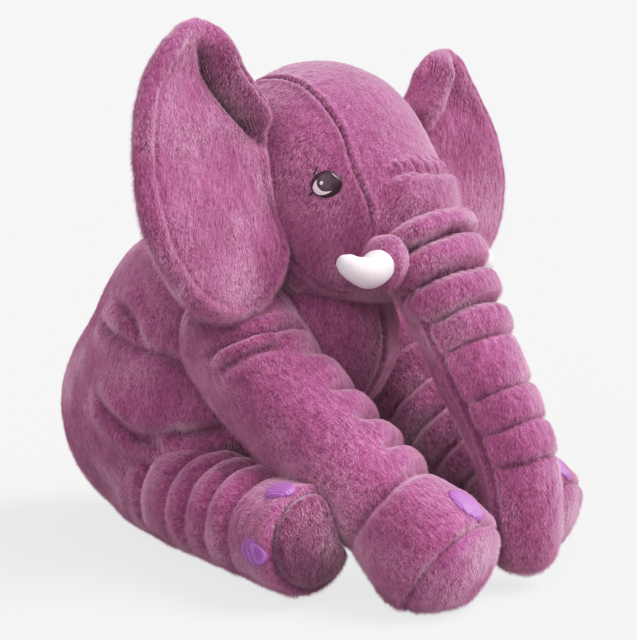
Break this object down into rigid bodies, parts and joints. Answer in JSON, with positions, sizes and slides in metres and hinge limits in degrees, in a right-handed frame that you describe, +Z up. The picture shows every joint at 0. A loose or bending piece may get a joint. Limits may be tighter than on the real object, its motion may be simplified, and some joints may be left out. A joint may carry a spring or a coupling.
{
  "type": "stuffed elephant",
  "caption": "Sitting plush elephant with long hanging trunk, wide flapping ears, stretched legs with toe patches, padded tusks and a tufted tail.",
  "frame": {"origin": "on the floor, under the middle of the toy's bounding box", "axes": "+Z up; the elephant faces -Y and its right side is at -X"},
  "size_m": [0.4602, 0.5413, 0.4474],
  "materials": {
    "plush": "short brushed pile, mauve pink",
    "stuffing_fibre": "loose polyester fibre",
    "tusk_cloth": "smooth short velour, near white",
    "toe_cloth": "ribbed satin, lilac",
    "eye_thread": "satin embroidery, dark brown with white highlights"
  },
  "bodies": {
    "torso": {"torso_back_panel": "plush", "torso_belly_panel": "plush", "torso_stuffing": "stuffing_fibre"},
    "head": {"forehead_panel": "plush", "chin_panel": "plush", "head_back_panel": "plush", "head_stuffing": "stuffing_fibre", "cheek_panel_right": "plush", "eye_right": "eye_thread", "cheek_right": "plush", "tusk_right": "tusk_cloth", "cheek_panel_left": "plush", "eye_left": "eye_thread", "cheek_left": "plush", "tusk_left": "tusk_cloth"},
    "trunk_upper": {"trunk_upper_front_panel": "plush", "trunk_upper_back_panel": "plush", "trunk_upper_stuffing": "stuffing_fibre"},
    "trunk_lower": {"trunk_lower_front_panel": "plush", "trunk_lower_back_panel": "plush", "trunk_lower_stuffing": "stuffing_fibre"},
    "tail": {"tail_cord": "plush", "tail_tuft": "plush"},
    "ear_right": {"ear_right_front_panel": "plush", "ear_right_back_panel": "plush"},
    "front_leg_right": {"front_leg_right_sleeve": "plush", "front_leg_right_stuffing": "stuffing_fibre", "front_leg_right_sole": "plush", "front_leg_right_toe_1": "toe_cloth", "front_leg_right_toe_2": "toe_cloth"},
    "hind_leg_right": {"hind_leg_right_sleeve": "plush", "hind_leg_right_stuffing": "stuffing_fibre", "hind_leg_right_sole": "plush", "hind_leg_right_toe_1": "toe_cloth", "hind_leg_right_toe_2": "toe_cloth"},
    "ear_left": {"ear_left_front_panel": "plush", "ear_left_back_panel": "plush"},
    "front_leg_left": {"front_leg_left_sleeve": "plush", "front_leg_left_stuffing": "stuffing_fibre", "front_leg_left_sole": "plush", "front_leg_left_toe_1": "toe_cloth", "front_leg_left_toe_2": "toe_cloth"},
    "hind_leg_left": {"hind_leg_left_sleeve": "plush", "hind_leg_left_stuffing": "stuffing_fibre", "hind_leg_left_sole": "plush", "hind_leg_left_toe_1": "toe_cloth", "hind_leg_left_toe_2": "toe_cloth"}
  },
  "joints": [
    {"name": "neck_nod", "type": "hinge", "parent": "torso", "child": "head", "pos_m": [0, 0.02, 0.25], "axis": [1, 0, 0], "range_deg": [-10, 0], "stiffness_Nm_per_rad": 6},
    {"name": "trunk_lift", "type": "hinge", "parent": "head", "child": "trunk_upper", "pos_m": [0, -0.145, 0.272], "axis": [1, 0, 0], "range_deg": [-18, 0], "stiffness_Nm_per_rad": 1.2},
    {"name": "trunk_curl", "type": "hinge", "parent": "trunk_upper", "child": "trunk_lower", "pos_m": [0, -0.187, 0.197], "axis": [1, 0, 0], "range_deg": [-25, 0], "stiffness_Nm_per_rad": 0.6},
    {"name": "ear_right_flap", "type": "hinge", "parent": "head", "child": "ear_right", "pos_m": [-0.1, -0.053, 0.325], "axis": [0, 0, 1], "range_deg": [-12, 12], "stiffness_Nm_per_rad": 0.15},
    {"name": "front_leg_right_lift", "type": "hinge", "parent": "torso", "child": "front_leg_right", "pos_m": [-0.088, -0.026, 0.184], "axis": [1, 0, 0], "range_deg": [-18, 0], "stiffness_Nm_per_rad": 3},
    {"name": "hind_leg_right_splay", "type": "hinge", "parent": "torso", "child": "hind_leg_right", "pos_m": [-0.082, 0.102, 0.045], "axis": [0, 0, 1], "range_deg": [-15, 0], "stiffness_Nm_per_rad": 3},
    {"name": "ear_left_flap", "type": "hinge", "parent": "head", "child": "ear_left", "pos_m": [0.1, -0.053, 0.325], "axis": [0, 0, 1], "range_deg": [-12, 12], "stiffness_Nm_per_rad": 0.15},
    {"name": "front_leg_left_lift", "type": "hinge", "parent": "torso", "child": "front_leg_left", "pos_m": [0.088, -0.026, 0.184], "axis": [1, 0, 0], "range_deg": [-18, 0], "stiffness_Nm_per_rad": 3},
    {"name": "hind_leg_left_splay", "type": "hinge", "parent": "torso", "child": "hind_leg_left", "pos_m": [0.082, 0.102, 0.045], "axis": [0, 0, 1], "range_deg": [0, 15], "stiffness_Nm_per_rad": 3},
    {"name": "tail_swing", "type": "hinge", "parent": "torso", "child": "tail", "pos_m": [0, 0.2405, 0.16], "axis": [0, 1, 0], "range_deg": [-40, 40], "stiffness_Nm_per_rad": 0.004}
  ]
}
